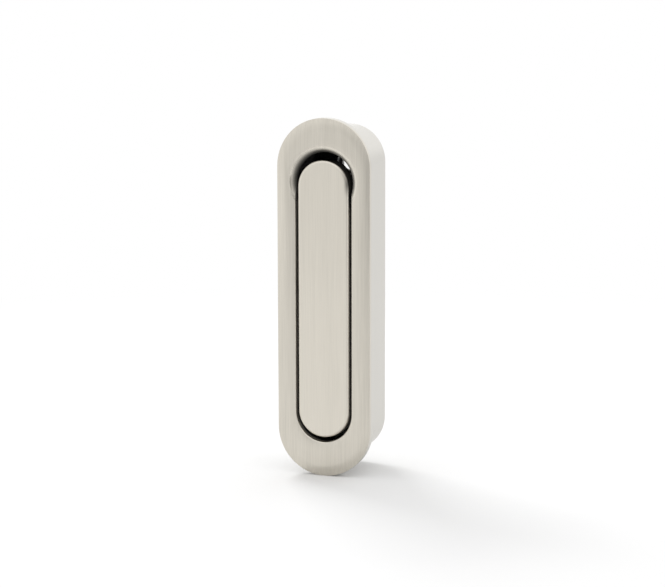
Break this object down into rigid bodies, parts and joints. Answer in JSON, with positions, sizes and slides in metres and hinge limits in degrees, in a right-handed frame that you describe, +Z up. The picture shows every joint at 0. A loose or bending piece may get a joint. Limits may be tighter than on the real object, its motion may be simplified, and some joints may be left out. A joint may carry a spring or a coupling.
{
  "type": "pocket door pull",
  "caption": "Flush pull for a pocket door's edge: stadium plate and deep housing with a finger scoop; pressing the spring-back lever's top swings its lower end out.",
  "frame": {"origin": "centre of the plate, in the plane of the door's face (the flange's back)", "axes": "+Z up along the plate's length, -Y out of the door towards the hand, +X to the right seen from the front"},
  "size_m": [0.0282, 0.0237, 0.104],
  "materials": {
    "satin_nickel": "vertical satin brushing",
    "plated_steel": "bright zinc plating",
    "spring_steel": "drawn wire",
    "nylon": "moulded",
    "black_rubber": "matt"
  },
  "bodies": {
    "housing": {"housing": "satin_nickel", "cradle": "plated_steel", "cradle_screw": "plated_steel", "pivot_pin": "plated_steel", "rest_buffer": "black_rubber", "stop_buffer": "black_rubber", "torsion_spring": "spring_steel"},
    "lever": {"lever": "satin_nickel", "left_bush": "nylon", "right_bush": "nylon"}
  },
  "joints": [
    {"name": "lever_swing", "type": "hinge", "parent": "housing", "child": "lever", "pos_m": [0, 0.005, 0.02], "axis": [-1, 0, 0], "range_deg": [0, 30], "stiffness_Nm_per_rad": 0.1, "springref_deg": -28.65, "deforming": ["torsion_spring"]}
  ]
}
